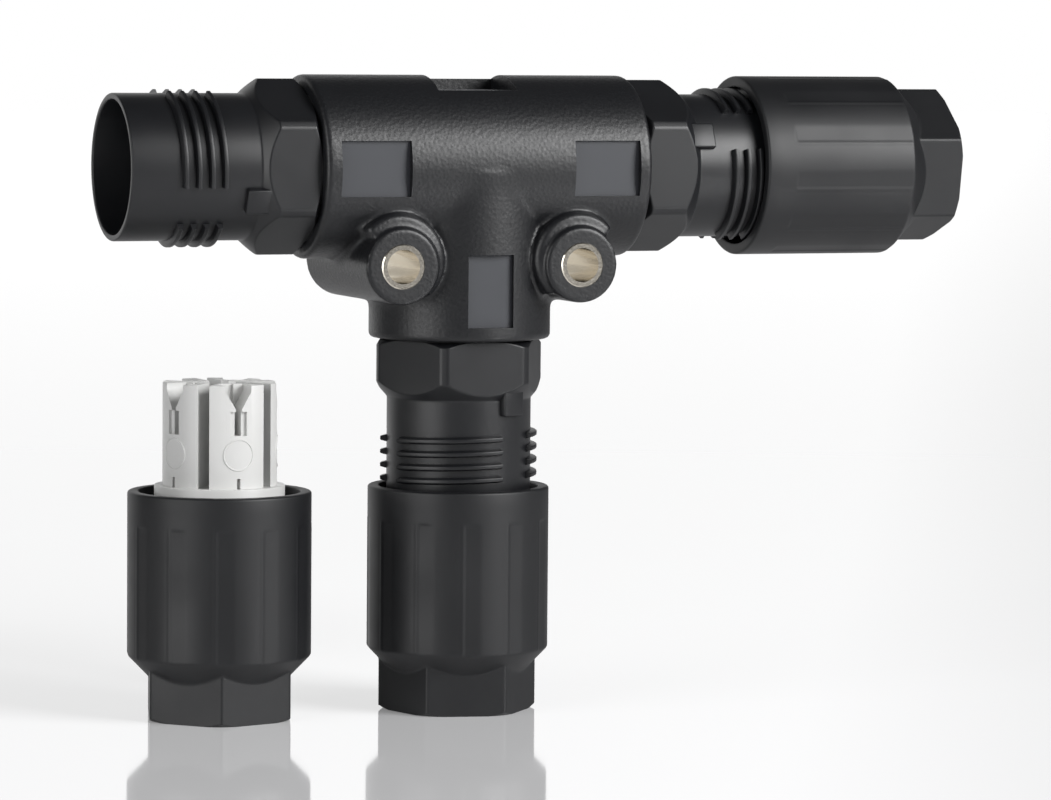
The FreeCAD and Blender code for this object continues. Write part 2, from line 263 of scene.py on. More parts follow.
def makeLamps():
    aim = Vector(studioSet["aim"])
    for name, around, up, distance, width, height, power in studioSet["lamps"]:
        data = bpy.data.lights.new(name, "AREA")
        data.shape = "RECTANGLE"
        data.size = width
        data.size_y = height
        data.energy = power
        lamp = bpy.data.objects.new(name, data)
        scene.collection.objects.link(lamp)
        side = math.radians(around)
        rise = math.radians(up)
        flat = math.cos(rise)
        toLamp = Vector((math.sin(side) * flat, -math.cos(side) * flat, math.sin(rise)))
        lamp.location = aim + toLamp * distance
        lamp.rotation_euler = toLamp.to_track_quat("Z", "Y").to_euler()


makeFloor()
makeWorld()
makeLamps()
print("studio lit")


# Materials

def newMaterial(name):
    material = bpy.data.materials.new(name)
    material.use_nodes = True
    tree = material.node_tree
    tree.nodes.clear()
    place = addNode(tree, "ShaderNodeTexCoord").outputs["Object"]
    shader = addNode(tree, "ShaderNodeBsdfPrincipled")
    addNode(tree, "ShaderNodeOutputMaterial", {"Surface": shader})
    return material, tree, place, shader


def finishShader(tree, shader, tone, rough, bump):
    tree.links.new(tone, shader.inputs["Base Color"])
    tree.links.new(rough.outputs[0], shader.inputs["Roughness"])
    tree.links.new(bump.outputs[0], shader.inputs["Normal"])


def perMetre(cell):
    # texture scale for cells of this many millimetres
    return 1.0 / (cell * mm)


plasticSet = {
    # mm; the real grain is finer, and is drawn as coarse as it needs to show
    "grain": 0.75,
    "grainDepth": 0.06,
    "ripple": 9.0,
    "dust": 0.35,
    "flow": 14.0,
    "skinDepth": 0.01,
}
plasticIor = 1.53  # polyamide 6


def grainedPlastic():
    # glass-filled polyamide 6, moulded in a spark-eroded tool:
    # a leather-like grain breaks up its highlights
    material, tree, place, shader = newMaterial("mouldedPolyamideGrained")
    cells = addNode(tree, "ShaderNodeTexVoronoi", {
        "Vector": place, "Scale": perMetre(plasticSet["grain"]), "Smoothness": 0.6}, feature="SMOOTH_F1")
    fine = addNode(tree, "ShaderNodeTexNoise", {
        "Vector": place, "Scale": perMetre(plasticSet["dust"]), "Detail": 2.0})
    broad = addNode(tree, "ShaderNodeTexNoise", {
        "Vector": place, "Scale": perMetre(plasticSet["ripple"]), "Detail": 3.0})
    height = addNode(tree, "ShaderNodeMath", {
        0: fine.outputs[0], 1: 0.35, 2: cells.outputs["Distance"]}, operation="MULTIPLY_ADD")
    bump = addNode(tree, "ShaderNodeBump", {
        "Height": height, "Strength": 0.55, "Distance": plasticSet["grainDepth"] * mm})
    tone = addNode(tree, "ShaderNodeMix", {
        "Factor": broad.outputs[0], 6: colour("#0F1013"), 7: colour("#141518")},
        data_type="RGBA").outputs[2]
    rough = addNode(tree, "ShaderNodeMapRange", {
        "Value": fine.outputs[0], "From Min": 0.3, "From Max": 0.7, "To Min": 0.35, "To Max": 0.47})
    finishShader(tree, shader, tone, rough, bump)
    shader.inputs["IOR"].default_value = plasticIor
    return material


def smoothPlastic(name, darker, lighter, roughLow, roughHigh):
    # polyamide 6 moulded in a fine-ground tool: satin skin, faint flow marks, hardly any grain
    material, tree, place, shader = newMaterial(name)
    broad = addNode(tree, "ShaderNodeTexNoise", {
        "Vector": place, "Scale": perMetre(plasticSet["flow"]), "Detail": 4.0})
    fine = addNode(tree, "ShaderNodeTexNoise", {
        "Vector": place, "Scale": perMetre(plasticSet["dust"]), "Detail": 2.0})
    rough = addNode(tree, "ShaderNodeMapRange", {
        "Value": broad.outputs[0], "From Min": 0.3, "From Max": 0.7,
        "To Min": roughLow, "To Max": roughHigh})
    bump = addNode(tree, "ShaderNodeBump", {
        "Height": fine.outputs[0], "Strength": 0.25, "Distance": plasticSet["skinDepth"] * mm})
    tone = addNode(tree, "ShaderNodeMix", {
        "Factor": broad.outputs[0], 6: colour(darker), 7: colour(lighter)}, data_type="RGBA").outputs[2]
    finishShader(tree, shader, tone, rough, bump)
    shader.inputs["IOR"].default_value = plasticIor
    return material


metalSet = {
    "marks": 0.4,  # mm
    "markDepth": 0.01,
}


def platedMetal(name, darker, lighter, rough):
    # turned or stamped, then plated: fine tool marks under a soft mirror
    material, tree, place, shader = newMaterial(name)
    fine = addNode(tree, "ShaderNodeTexNoise", {
        "Vector": place, "Scale": perMetre(metalSet["marks"]), "Detail": 3.0})
    tone = addNode(tree, "ShaderNodeMix", {
        "Factor": fine.outputs[0], 6: colour(darker), 7: colour(lighter)}, data_type="RGBA").outputs[2]
    roughness = addNode(tree, "ShaderNodeMapRange", {
        "Value": fine.outputs[0], "From Min": 0.3, "From Max": 0.7,
        "To Min": rough - 0.05, "To Max": rough + 0.08})
    bump = addNode(tree, "ShaderNodeBump", {
        "Height": fine.outputs[0], "Strength": 0.3, "Distance": metalSet["markDepth"] * mm})
    finishShader(tree, shader, tone, roughness, bump)
    shader.inputs["Metallic"].default_value = 1.0
    return material


materials = {
    "housing": grainedPlastic(),
    # label pocket and notch floors: the housing's black polyamide with a smoother skin; their lighter grey
    # is painted sheen
    "pocket": smoothPlastic("labelPocketPaintedSheen", "#35373C", "#3B3D42", 0.42, 0.5),
    "sleeve": smoothPlastic("mouldedPolyamideSatin", "#111215", "#16171A", 0.36, 0.44),
    "nut": smoothPlastic("mouldedPolyamideNut", "#0D0E11", "#121316", 0.46, 0.54),
    "guide": smoothPlastic("mouldedPolyamideNatural", "#D3D3D1", "#DBDBDA", 0.34, 0.42),
    "cage": smoothPlastic("mouldedPolyamideCage", "#6B6E70", "#757879", 0.36, 0.45),
    "carrier": smoothPlastic("mouldedPolyamideCarrier", "#1E1F20", "#26282A", 0.36, 0.45),
    "seal": smoothPlastic("mouldedSealRubber", "#101010", "#181818", 0.62, 0.75),
    "bush": platedMetal("turnedBrassNickelPlated", "#D9D2C4", "#E6E0D4", 0.14),
    "contact": platedMetal("stampedCopperTinPlated", "#B9B9B4", "#D0D0CC", 0.30),
}
finishOfNode = {
    # start of a node's name, and the material that its solid gets
    "mounting_bush": "bush", "face_seal": "seal", "contact_carrier": "carrier",
    "contact_blades": "contact", "busbar_block": "carrier", "busbar": "contact",
    "wire_guide": "guide", "clamping_cage": "cage", "cable_seal": "seal",
    "tee_housing": "housing", "port_sleeve": "sleeve", "union_nut": "nut",
}
for nodeName, node in nodes.items():
    finish = next(slot for start, slot in finishOfNode.items() if nodeName.startswith(start))
    node.data.materials.clear()
    node.data.materials.append(materials[finish])
print("materials ready")


# Housing: two rounded bars that melt together, with bosses, as a distance field turned into a surface

housingSet = {
    "radius": 17.75,
    "reach": 33.4,
    "endRound": 1.0,
    "crease": 1.0,  # width over which arm and stem melt together
    "bossRadius": 7.3,
    "bossSpread": 18.35,
    "bossDrop": 18.6,
    "bossFront": 18.6,
    "bossBack": 18.0,
    "bossBlend": 2.6,
    "bossRound": 0.5,
    "shoulderRadius": 9.2,
    "shoulderRise": 1.0,
    "shoulderStep": 1.2,
    "shoulderLength": 9.0,
    "shoulderRound": 1.3,
    "shoulderBlend": 1.8,
}
fieldSet = {
    "step": 0.36,  # mm between the samples of the distance field
    "margin": 1.2,
}
bodyCuts = {
    "coreBore": 12.2,
    "socket": 14.75,
    "socketDepth": 7.9,
    "bushHole": 4.34,
    "past": 3.0,  # how far a cutter reaches past the surface
    # across and up from the tee's middle, then width and height
    "labels": [(-23.3, 0.0, (14.1, 10.7)), (24.1, 0.0, (13.6, 10.7)), (0.1, -23.6, (9.3, 14.1))],
    "labelDepth": 1.6,
    "notchWidth": 16.4,
    "notchDepth": 2.85,
    "notchBack": 5.3,
}


def treeWithInputs(name, sizes):
    # a geometry tree with a named number input for each size, and the sockets that bring them in
    tree = bpy.data.node_groups.new(name, "GeometryNodeTree")
    for label, value in sizes.items():
        kind = "NodeSocketMaterial" if isinstance(value, bpy.types.Material) else (
            "NodeSocketInt" if isinstance(value, int) else "NodeSocketFloat")
        tree.interface.new_socket(name=label, in_out="INPUT", socket_type=kind)
    tree.interface.new_socket(name="Geometry", in_out="OUTPUT", socket_type="NodeSocketGeometry")
    entry = tree.nodes.new("NodeGroupInput")
    return tree, {label: entry.outputs[label] for label in sizes}


def runTree(name, tree, sizes):
    # the tree's result as a plain mesh, with its inputs set by identifier before it is first evaluated
    holder = addObject(name, bpy.data.meshes.new(name))
    modifier = holder.modifiers.new(name, "NODES")
    modifier.node_group = tree
    for item in tree.interface.items_tree:
        if item.item_type == "SOCKET" and item.in_out == "INPUT":
            modifier[item.identifier] = sizes[item.name]
    depsgraph = bpy.context.evaluated_depsgraph_get()
    mesh = bpy.data.meshes.new_from_object(holder.evaluated_get(depsgraph))
    holder.modifiers.remove(modifier)
    bpy.data.objects.remove(holder)
    return mesh


def roundedBar(tree, across, along, radius, halfLength, roundness):
    # distance to a round bar with rounded rims, from the distances across and along it
    inner = addNode(tree, "ShaderNodeMath", {0: radius, 1: roundness}, operation="SUBTRACT")
    innerHalf = addNode(tree, "ShaderNodeMath", {0: halfLength, 1: roundness}, operation="SUBTRACT")
    side = addNode(tree, "ShaderNodeMath", {0: across, 1: inner}, operation="SUBTRACT")
    far = addNode(tree, "ShaderNodeMath", {0: along}, operation="ABSOLUTE")
    end = addNode(tree, "ShaderNodeMath", {0: far, 1: innerHalf}, operation="SUBTRACT")
    sideOut = addNode(tree, "ShaderNodeMath", {0: side, 1: 0.0}, operation="MAXIMUM")
    endOut = addNode(tree, "ShaderNodeMath", {0: end, 1: 0.0}, operation="MAXIMUM")
    corner = addNode(tree, "ShaderNodeCombineXYZ", {0: sideOut, 1: endOut})
    outside = addNode(tree, "ShaderNodeVectorMath", {0: corner}, operation="LENGTH").outputs["Value"]
    deepest = addNode(tree, "ShaderNodeMath", {0: side, 1: end}, operation="MAXIMUM")
    inside = addNode(tree, "ShaderNodeMath", {0: deepest, 1: 0.0}, operation="MINIMUM")
    total = addNode(tree, "ShaderNodeMath", {0: outside, 1: inside}, operation="ADD")
    return addNode(tree, "ShaderNodeMath", {0: total, 1: roundness}, operation="SUBTRACT")


def lengthOf(tree, a, b):
    pair = addNode(tree, "ShaderNodeCombineXYZ", {0: a, 1: b})
    return addNode(tree, "ShaderNodeVectorMath", {0: pair}, operation="LENGTH").outputs["Value"]


def housingSurface():
    sizes = {**housingSet, "middle": middle, "material": materials["housing"]}
    tree, size = treeWithInputs("housingBody", sizes)
    scaled = addNode(tree, "ShaderNodeVectorMath", {
        0: addNode(tree, "GeometryNodeInputPosition"), "Scale": 1 / mm}, operation="SCALE")
    axes = addNode(tree, "ShaderNodeSeparateXYZ", {0: scaled})
    x, y = axes.outputs["X"], axes.outputs["Y"]
    z = addNode(tree, "ShaderNodeMath", {0: axes.outputs["Z"], 1: size["middle"]}, operation="SUBTRACT")
    absX = addNode(tree, "ShaderNodeMath", {0: x}, operation="ABSOLUTE")
    arm = roundedBar(tree, lengthOf(tree, y, z), x, size["radius"], size["reach"], size["endRound"])
    halfReach = addNode(tree, "ShaderNodeMath", {0: size["reach"], 1: 0.5}, operation="MULTIPLY")
    stemHeight = addNode(tree, "ShaderNodeMath", {0: z, 1: halfReach}, operation="ADD")
    stem = roundedBar(tree, lengthOf(tree, x, y), stemHeight, size["radius"], halfReach, size["endRound"])
    body = addNode(tree, "ShaderNodeMath", {0: arm, 1: stem, 2: size["crease"]}, operation="SMOOTH_MIN")

    bossX = addNode(tree, "ShaderNodeMath", {0: absX, 1: size["bossSpread"]}, operation="SUBTRACT")
    bossZ = addNode(tree, "ShaderNodeMath", {0: z, 1: size["bossDrop"]}, operation="ADD")
    depth = addNode(tree, "ShaderNodeMath", {0: size["bossFront"], 1: size["bossBack"]}, operation="ADD")
    halfDepth = addNode(tree, "ShaderNodeMath", {0: depth, 1: 0.5}, operation="MULTIPLY")
    lean = addNode(tree, "ShaderNodeMath", {0: size["bossFront"], 1: halfDepth}, operation="SUBTRACT")
    bossY = addNode(tree, "ShaderNodeMath", {0: y, 1: lean}, operation="ADD")
    boss = roundedBar(
        tree, lengthOf(tree, bossX, bossZ), bossY, size["bossRadius"], halfDepth, size["bossRound"])
    body = addNode(tree, "ShaderNodeMath", {
        0: body, 1: boss, 2: size["bossBlend"]}, operation="SMOOTH_MIN")

    # the half-round shoulder, only on the side that faces the tee's middle
    riseZ = addNode(tree, "ShaderNodeMath", {0: bossZ, 1: size["shoulderRise"]}, operation="SUBTRACT")
    front = addNode(tree, "ShaderNodeMath", {
        0: size["bossFront"], 1: size["shoulderStep"]}, operation="SUBTRACT")
    halfShoulder = addNode(tree, "ShaderNodeMath", {
        0: size["shoulderLength"], 1: 0.5}, operation="MULTIPLY")
    centreY = addNode(tree, "ShaderNodeMath", {0: front, 1: halfShoulder}, operation="SUBTRACT")
    shoulderY = addNode(tree, "ShaderNodeMath", {0: y, 1: centreY}, operation="ADD")
    shoulder = roundedBar(
        tree, lengthOf(tree, bossX, riseZ), shoulderY, size["shoulderRadius"], halfShoulder,
        size["shoulderRound"])
    away = addNode(tree, "ShaderNodeMath", {0: bossX, 1: bossZ}, operation="SUBTRACT")
    plane = addNode(tree, "ShaderNodeMath", {0: away, 1: math.sqrt(0.5)}, operation="MULTIPLY")
    crescent = addNode(tree, "ShaderNodeMath", {
        0: shoulder, 1: plane, 2: size["shoulderRound"]}, operation="SMOOTH_MAX")
    body = addNode(tree, "ShaderNodeMath", {
        0: body, 1: crescent, 2: size["shoulderBlend"]}, operation="SMOOTH_MIN")
    density = addNode(tree, "ShaderNodeMath", {0: body, 1: -1.0}, operation="MULTIPLY")

    wide = housingSet["reach"] + fieldSet["margin"]
    deep = housingSet["bossFront"] + fieldSet["margin"]
    low = (-wide, -deep, middle - wide)
    high = (wide, deep, middle + housingSet["radius"] + fieldSet["margin"])
    counts = [int(round((b - a) / fieldSet["step"])) + 1 for a, b in zip(low, high)]
    cube = addNode(tree, "GeometryNodeVolumeCube", {
        "Density": density, "Background": -1.0,
        "Min": tuple(v * mm for v in low), "Max": tuple(v * mm for v in high),
        "Resolution X": counts[0], "Resolution Y": counts[1], "Resolution Z": counts[2]})
    skin = addNode(tree, "GeometryNodeVolumeToMesh", {"Volume": cube, "Threshold": 0.0})
    real = addNode(tree, "GeometryNodeRealizeInstances", {"Geometry": skin})
    finished = addNode(tree, "GeometryNodeSetMaterial", {"Geometry": real, "Material": size["material"]})
    addNode(tree, "NodeGroupOutput", {"Geometry": finished})
    return runTree("housingBody", tree, sizes)


def blockMesh(name, low, high, matrix=None):
    corners = [(x, y, z) for x in (low[0], high[0]) for y in (low[1], high[1]) for z in (low[2], high[2])]
    faces = [(0, 1, 3, 2), (4, 6, 7, 5), (0, 4, 5, 1), (2, 3, 7, 6), (0, 2, 6, 4), (1, 5, 7, 3)]
    return makeMesh(name, corners, faces, matrix)


def steppedRod(name, steps, matrix, columns=160):
    # a solid of revolution from (radius, height) pairs, closed at both ends
    vertices, faces = ringShell(steps, columns)
    faces = faces[:-columns]
    last = len(steps) - 1
    faces.append(tuple(range(columns - 1, -1, -1)))
    faces.append(tuple(last * columns + column for column in range(columns)))
    return makeMesh(name, vertices, faces, matrix)


def cutAway(obj, cutters):
    tools = []
    for number, mesh in enumerate(cutters):
        tool = addObject("cutter" + str(number), mesh)
        tools.append(tool)
        modifier = obj.modifiers.new("cut" + str(number), "BOOLEAN")
        modifier.operation = "DIFFERENCE"
        modifier.solver = "MANIFOLD"
        modifier.object = tool
    depsgraph = bpy.context.evaluated_depsgraph_get()
    mesh = bpy.data.meshes.new_from_object(obj.evaluated_get(depsgraph))
    obj.modifiers.clear()
    for tool in tools:
        bpy.data.objects.remove(tool)
    return mesh


def housingCutters():
    cuts = bodyCuts
    reach = housingSet["reach"]
    seat = reach - cuts["socketDepth"]
    past = reach + cuts["past"]
    outward = [(cuts["coreBore"], seat), (cuts["socket"], seat), (cuts["socket"], past)]
    inward = [(radius, -height) for radius, height in reversed(outward)]
    cutters = [
        steppedRod("armBore", inward + outward, portMatrix(90)),
        steppedRod("stemBore", [(cuts["coreBore"], 0.0)] + outward, portMatrix(180)),
    ]
    front = housingSet["bossFront"] + cuts["past"]
    for side in (-1, 1):
        hole = Matrix.Translation((
            side * housingSet["bossSpread"] * mm, 0, (middle - housingSet["bossDrop"]) * mm))
        cutters.append(steppedRod(
            "bushHole", [(cuts["bushHole"], -front), (cuts["bushHole"], front)],
            hole @ Matrix.Rotation(math.radians(90), 4, "X"), 96))
    floor = housingSet["radius"] - cuts["labelDepth"]
    for x, z, (width, height) in cuts["labels"]:
        cutters.append(blockMesh(
            "labelPocket", (x - width / 2, -front, middle + z - height / 2),
            (x + width / 2, -floor, middle + z + height / 2)))
    notchFloor = middle + housingSet["radius"] - cuts["notchDepth"]
    cutters.append(blockMesh(
        "notch", (-cuts["notchWidth"] / 2, -front, notchFloor),
        (cuts["notchWidth"] / 2, cuts["notchBack"], middle + housingSet["radius"] + cuts["past"])))
    return cutters


def paintHousing(mesh):
    # the grain stops at the floors of label pockets and notch, whose grey is painted sheen, and the bores
    # are as smooth as the sleeves
    cuts = bodyCuts
    close = 0.02  # mm, from a face's centre to the cut surface
    for name in ("housing", "pocket", "sleeve"):
        mesh.materials.append(materials[name])
    count = len(mesh.polygons)
    centres = np.zeros(count * 3)
    mesh.polygons.foreach_get("center", centres)
    x, y, z = (centres.reshape(-1, 3) / mm - (0, 0, middle)).T
    slots = np.zeros(count, int)
    inArm = np.hypot(y, z) < cuts["socket"] + close
    inStem = (np.hypot(x, y) < cuts["socket"] + close) & (z < 0)
    slots[inArm | inStem] = 2
    floor = housingSet["radius"] - cuts["labelDepth"]
    for labelX, labelZ, (width, height) in cuts["labels"]:
        inLabel = (abs(x - labelX) < width / 2 + close) & (abs(z - labelZ) < height / 2 + close)
        slots[inLabel & (abs(y + floor) < close)] = 1
    onNotch = abs(z - housingSet["radius"] + cuts["notchDepth"]) < close
    slots[onNotch & (abs(x) < cuts["notchWidth"] / 2) & (y < cuts["notchBack"])] = 1
    mesh.polygons.foreach_set("material_index", slots)


def makeHousing():
    body = addObject("teeBody", housingSurface())
    mesh = cutAway(body, housingCutters())
    mesh.materials.clear()
    paintHousing(mesh)
    setMesh(body, mesh, 32.0)
    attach(body, "tee")
    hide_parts("tee_housing")
    print("housing done,", len(mesh.polygons), "faces")


makeHousing()


# Port sleeves: hexagon collar, stops, tube with interrupted threads

sleeveSet = {
    "bore": 12.9,
    "radius": 14.1,
    "spigot": 14.65,
    "inside": 27.0,
    "bodyEnd": 33.4,
    "collarStart": 33.7,
    "collarEnd": 45.0,
    "collarFlat": 15.0,
    "collarCorner": 16.92,
    "taper": 3.2,
    "backBevel": 0.9,
    "backRise": 0.6,
    "reach": 70.7,
    "edge": 0.3,
    "cornerBlend": 0.22,
    "footBlend": 0.25,
    "backZone": 1.4,  # lengths over which the rings lie close
    "frontZone": 3.8,
    "hexSharpness": 500,
    "columns": 288,
}
stopSet = {
    "width": 5.0,
    "start": 42.0,
    "end": 48.0,
    "inner": 13.2,
    "outer": 15.3,
    "angle": 65.3,
    "count": 2,
    "edge": 0.3,
}
threadSet = {
    "pitch": 2.6,
    "innerRadius": 13.9,
    "outerRadius": 15.35,
    "innerWidth": 1.5,
    "outerWidth": 0.7,
    "gap": 34.0,
    "firstAngle": 179.0,
    "firstHeight": 51.82,
    "count": 12,
    "perTurn": 3,
    "endTaper": 0.06,  # share of a ridge's length over which it grows smaller
    "endScale": 0.35,
    "edgeRound": 0.16,
}


def ridgeTree(name, sizes):
    # interrupted thread: one stretch of helix with a trapezium section, repeated round and up the tube
    tree, size = treeWithInputs(name, sizes)
    free = addNode(tree, "ShaderNodeMath", {0: 360.0, 1: size["perTurn"]}, operation="DIVIDE")
    arc = addNode(tree, "ShaderNodeMath", {0: free, 1: size["gap"]}, operation="SUBTRACT")
    share = addNode(tree, "ShaderNodeMath", {0: arc, 1: 1 / 360.0}, operation="MULTIPLY")
    rise = addNode(tree, "ShaderNodeMath", {0: share, 1: size["pitch"]}, operation="MULTIPLY")
    bothRadii = addNode(tree, "ShaderNodeMath", {
        0: size["innerRadius"], 1: size["outerRadius"]}, operation="ADD")
    middleRadius = addNode(tree, "ShaderNodeMath", {0: bothRadii, 1: 0.5}, operation="MULTIPLY")
    helix = addNode(tree, "GeometryNodeCurveSpiral", {
        "Resolution": 120, "Rotations": share, "Start Radius": middleRadius, "End Radius": middleRadius,
        "Height": rise, "Reverse": True})
    upright = addNode(tree, "GeometryNodeSetCurveNormal", {"Curve": helix}, mode="Z_UP")
    along = addNode(tree, "GeometryNodeSplineParameter").outputs["Factor"]
    centred = addNode(tree, "ShaderNodeMath", {0: along, 1: 0.5}, operation="SUBTRACT")
    fromMiddle = addNode(tree, "ShaderNodeMath", {0: centred}, operation="ABSOLUTE")
    taperStart = addNode(tree, "ShaderNodeMath", {0: 0.5, 1: size["endTaper"]}, operation="SUBTRACT")
    swell = addNode(tree, "ShaderNodeMapRange", {
        "Value": fromMiddle, "From Min": taperStart, "From Max": 0.5,
        "To Min": 1.0, "To Max": size["endScale"]},
        interpolation_type="SMOOTHSTEP")
    tapered = addNode(tree, "GeometryNodeSetCurveRadius", {"Curve": upright, "Radius": swell})
    height = addNode(tree, "ShaderNodeMath", {
        0: size["outerRadius"], 1: size["innerRadius"]}, operation="SUBTRACT")
    section = addNode(tree, "GeometryNodeCurvePrimitiveQuadrilateral", {
        "Height": height, "Bottom Width": size["innerWidth"],
        "Top Width": size["outerWidth"], "Offset": 0.0},
        mode="TRAPEZOID")
    outward = addNode(tree, "GeometryNodeTransform", {
        "Geometry": section, "Rotation": (0.0, 0.0, math.radians(-90))})
    softened = addNode(tree, "GeometryNodeFilletCurve", {
        "Curve": outward, "Radius": size["edgeRound"], "Count": 3}, mode="POLY")
    ridge = addNode(tree, "GeometryNodeCurveToMesh", {
        "Curve": tapered, "Profile Curve": softened, "Fill Caps": True})
    halfArc = addNode(tree, "ShaderNodeMath", {0: arc, 1: 0.5}, operation="MULTIPLY")
    backAngle = addNode(tree, "ShaderNodeMath", {0: size["firstAngle"], 1: halfArc}, operation="SUBTRACT")
    halfRise = addNode(tree, "ShaderNodeMath", {0: rise, 1: -0.5}, operation="MULTIPLY")
    points = addNode(tree, "GeometryNodePoints", {"Count": size["count"]})
    index = addNode(tree, "GeometryNodeInputIndex")
    step = addNode(tree, "ShaderNodeMath", {0: size["pitch"], 1: size["perTurn"]}, operation="DIVIDE")
    climb = addNode(tree, "ShaderNodeMath", {
        0: index, 1: step, 2: size["firstHeight"]}, operation="MULTIPLY_ADD")
    climbed = addNode(tree, "ShaderNodeMath", {0: climb, 1: halfRise}, operation="ADD")
    place = addNode(tree, "ShaderNodeCombineXYZ", {2: climbed})
    placed = addNode(tree, "GeometryNodeSetPosition", {"Geometry": points, "Position": place})
    spin = addNode(tree, "ShaderNodeMath", {0: index, 1: free, 2: backAngle}, operation="MULTIPLY_ADD")
    spinAngle = addNode(tree, "ShaderNodeMath", {0: spin}, operation="RADIANS")
    turn = addNode(tree, "ShaderNodeCombineXYZ", {2: spinAngle})
    copies = addNode(tree, "GeometryNodeInstanceOnPoints", {
        "Points": placed, "Instance": ridge, "Rotation": turn})
    real = addNode(tree, "GeometryNodeRealizeInstances", {"Geometry": copies})
    scaled = addNode(tree, "GeometryNodeTransform", {"Geometry": real, "Scale": (mm, mm, mm)})
    finished = addNode(tree, "GeometryNodeSetMaterial", {"Geometry": scaled, "Material": size["material"]})
    addNode(tree, "NodeGroupOutput", {"Geometry": finished})
    return tree


def sleeveShell():
    size = sleeveSet
    columns = size["columns"]
    start, end, tube, edge = size["collarStart"], size["collarEnd"], size["radius"], size["edge"]
    angles = np.arange(columns) * 2 * math.pi / columns
    hexagon = polygonRadius(angles, 6, size["collarFlat"], sharpness=size["hexSharpness"])
    hexagon = np.minimum(hexagon, size["collarCorner"])
    slope = (size["collarCorner"] - tube) / size["taper"]
    backEdge = size["collarFlat"] + size["backRise"]
    backSlope = (size["collarCorner"] - backEdge) / size["backBevel"]
    rings = [(size["bore"], size["inside"]), (size["spigot"], size["inside"]),
             (size["spigot"], size["bodyEnd"]), (tube, size["bodyEnd"]), (tube, start)]
    heights = np.concatenate([
        np.linspace(start, start + size["backZone"], 15),
        np.linspace(start + size["backZone"] + 0.8, end - size["frontZone"] - 0.2, 5),
        np.linspace(end - size["frontZone"], end + 0.1, 32)])
    for height in heights:
        rim = min(tube + (end - height) * slope, backEdge + (height - start) * backSlope)
        collar = -softMax(-hexagon, np.full(columns, -rim), size["cornerBlend"])
        rings.append((softMax(collar, np.full(columns, tube), size["footBlend"]), height))
    rings.append((tube, end + 0.4))
    rings += roundedCorner(tube - edge, size["reach"] - edge, edge, 0, 90)
    rings += roundedCorner(size["bore"] + edge, size["reach"] - edge, edge, 90, 180)
    return makeMesh("sleeve", *ringShell(rings, columns))


def stopBlocks():
    size = stopSet
    half = size["width"] / 2
    blocks = []
    for number in range(size["count"]):
        turned = Matrix.Rotation(math.radians(size["angle"] + number * 360.0 / size["count"]), 4, "Z")
        block = blockMesh(
            "stop", (size["inner"], -half, size["start"]), (size["outer"], half, size["end"]), turned)
        build = bmesh.new()
        build.from_mesh(block)
        bmesh.ops.bevel(
            build, geom=build.edges[:], offset=size["edge"] * mm, segments=3, profile=0.5, affect="EDGES")
        build.to_mesh(block)
        build.free()
        blocks.append(block)
    return blocks


def makeSleeves():
    sizes = {**threadSet, "material": materials["sleeve"]}
    ridges = runTree("threadRidges", ridgeTree("threadRidges", sizes), sizes)
    parts = [sleeveShell(), ridges] + stopBlocks()
    for name, tilt in ports.items():
        both = joinMeshes("sleeve" + name.capitalize(), parts)
        both.transform(portMatrix(tilt))
        both.materials.append(materials["sleeve"])
        piece = addObject("sleeve" + name.capitalize(), both)
        setMesh(piece, both, 40.0)
        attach(piece, "tee")
        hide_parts("port_sleeve_" + name)
    print("sleeves done,", len(both.polygons), "faces each")


makeSleeves()


# Union nuts: a round mouth, twelve faint facets with thin lines between, a cone and a hexagon

nutSet = {
    "radius": 17.75,
    "bore": 15.6,
    "length": 44.0,
    "mouthRound": 0.5,
    "boreRound": 0.3,
    "facetFlat": 17.62,
    "facetStart": 6.3,
    "facetRunIn": 0.6,
    "facetBlend": 0.08,
    "facetCount": 12,
    "lineHeight": 0.1,
    "lineWidth": 0.35,  # mm round the nut
    "lineAngle": 4.6,
    "skirtEnd": 31.7,
    "coneAngle": 44.0,
    "coneBlend": 0.5,
    "hexFlat": 13.5,
    "hexSharpness": 130,
    "hexBlend": 0.45,
    "endBevel": 0.7,
    "endBevelSlope": 2.0,
    "endBevelBlend": 0.15,
    "cageDepth": 24.0,
    "cageBore": 13.4,
    "tipBore": 10.3,
    "tipStart": 34.8,
    "entryStart": 37.8,
    "cableBore": 7.0,
    "cableBevel": 0.4,
    "columns": 360,
}
nutThreadSet = {
    **threadSet,
    "innerRadius": 14.5,
    "outerRadius": 16.0,
    "innerWidth": 0.5,
    "outerWidth": 0.9,
    "firstAngle": 0.0,
    "firstHeight": 3.38,
    "count": 6,
    "edgeRound": 0.1,
}
nutPlaces = {
    # body, tilt, mouth from the tee's middle, turned by
    "right": ("right_nut", 90, 58.05, -20.5 + 360 * 3.75),
    "bottom": ("bottom_nut", 180, 62.405, -20.5 + 360 * 5.425),
}
looseSet = {
    # mm from the tee's middle, then degrees
    "x": -48.4,
    "y": 1.8,
    "nutAngle": 45.4,
    "guideAngle": 34.2,
}


def loosePlace(angle):
    # mouth up on the floor, beside the tee
    place = Matrix.Translation((looseSet["x"] * mm, looseSet["y"] * mm, nutSet["length"] * mm))
    return place @ Matrix.Rotation(math.pi, 4, "Y") @ Matrix.Rotation(math.radians(angle), 4, "Z")


